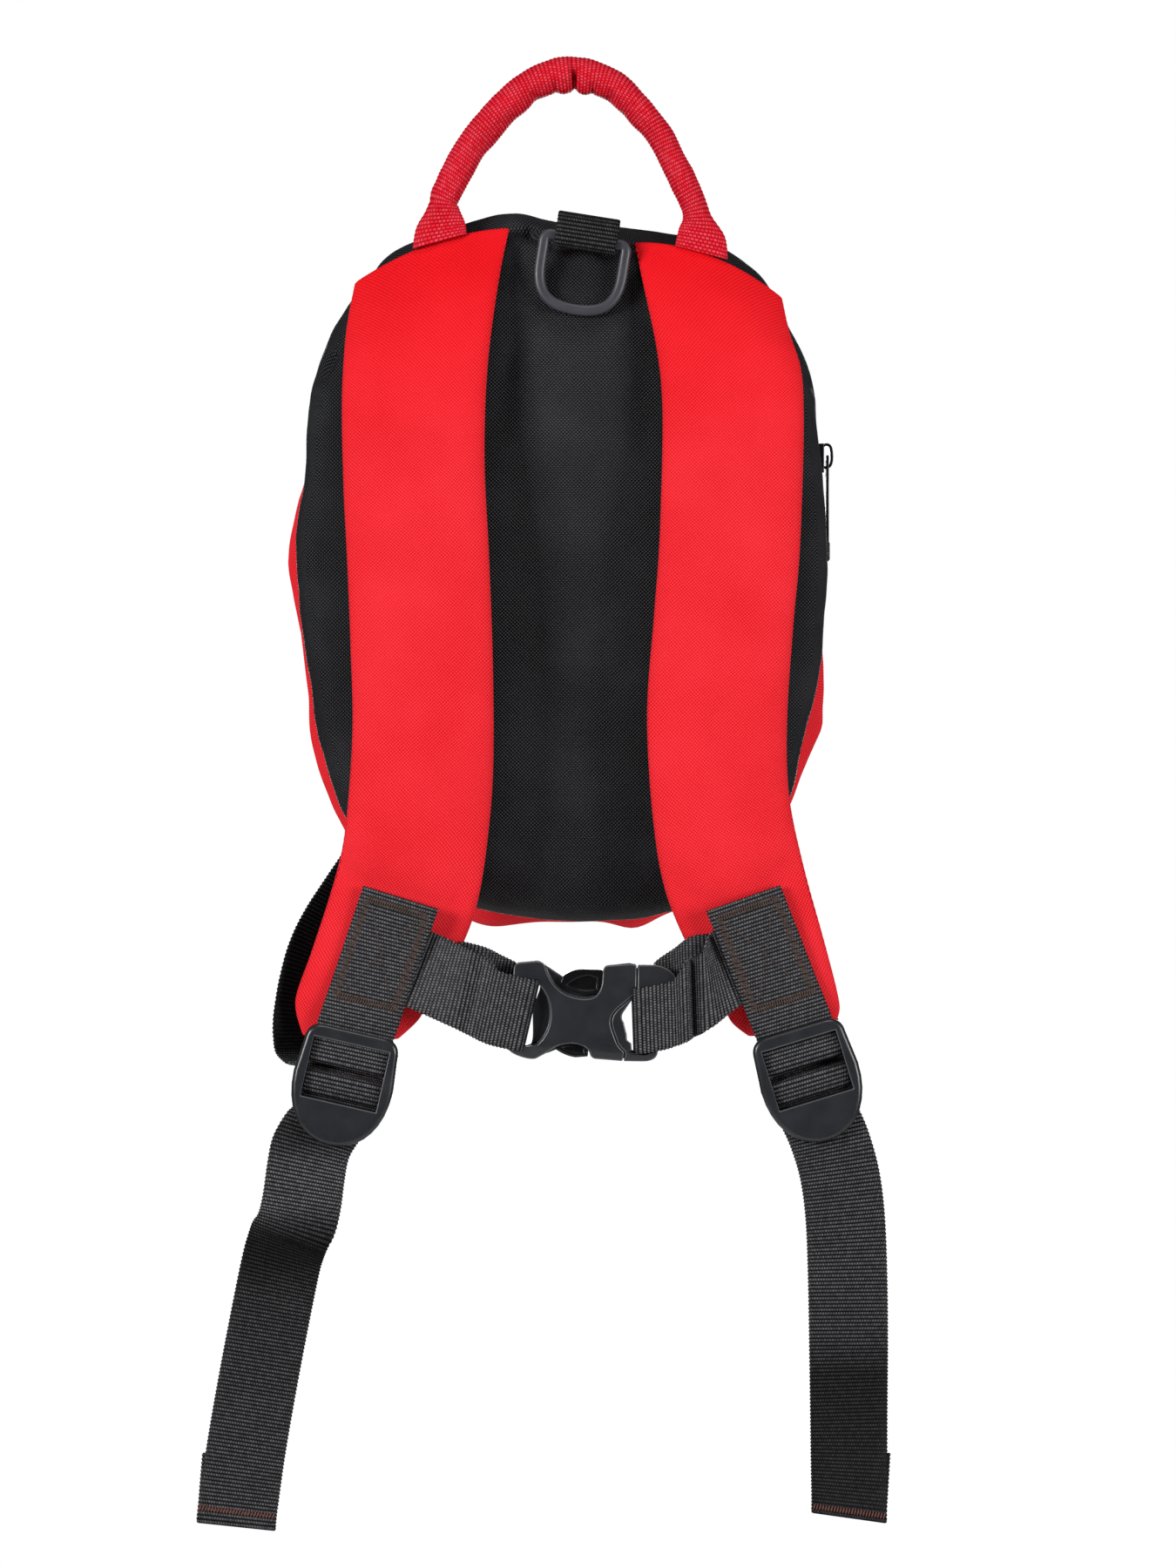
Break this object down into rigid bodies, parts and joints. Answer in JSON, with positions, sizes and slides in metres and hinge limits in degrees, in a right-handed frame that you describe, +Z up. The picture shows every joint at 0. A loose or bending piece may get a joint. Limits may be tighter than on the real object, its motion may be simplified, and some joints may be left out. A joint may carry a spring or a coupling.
{
  "type": "toddler backpack",
  "caption": "Small child's backpack with a domed front, padded shoulder straps, chest strap with side-release buckle, grab handle, zip, and a ring on a tab for a safety rein.",
  "frame": {"origin": "underside of the grab handle at its top, where a hook or hand carries the bag", "axes": "+Z up, +Y from the wearer's back towards the front of the bag, +X towards the zip pull"},
  "size_m": [0.2275, 0.116, 0.4874],
  "materials": {
    "red_cloth": "woven polyester",
    "red_webbing": "ribbed webbing",
    "black_cloth": "woven nylon",
    "black_webbing": "woven webbing",
    "grey_plastic": "satin moulded",
    "gloss_plastic": "gloss coated"
  },
  "bodies": {
    "pack": {"back_panel": "black_cloth", "side_gusset": "black_cloth", "front_panel": "red_cloth", "zip_chain": "black_webbing", "zip_slider": "gloss_plastic", "grab_handle": "red_webbing", "ring_tab": "black_webbing", "buckle_socket": "grey_plastic", "buckle_plug": "grey_plastic", "shoulder_strap_left": "red_cloth", "lock_tab_left": "black_webbing", "ladder_lock_left": "grey_plastic", "adjuster_web_left": "black_webbing", "chest_strap_left": "black_webbing", "shoulder_strap_right": "red_cloth", "lock_tab_right": "black_webbing", "ladder_lock_right": "grey_plastic", "adjuster_web_right": "black_webbing", "chest_strap_right": "black_webbing"},
    "d_ring": {"d_ring": "grey_plastic"},
    "zip_pull": {"zip_pull": "gloss_plastic"}
  },
  "joints": [
    {"name": "d_ring_swing", "type": "hinge", "parent": "pack", "child": "d_ring", "pos_m": [0.0054, -0.0066, -0.05], "axis": [-0.9877, 0, 0.1564], "range_deg": [0, 165]},
    {"name": "zip_pull_swing", "type": "hinge", "parent": "pack", "child": "zip_pull", "pos_m": [0.0873, 0.0285, -0.1199], "axis": [0, -1, 0], "range_deg": [0, 160]}
  ]
}
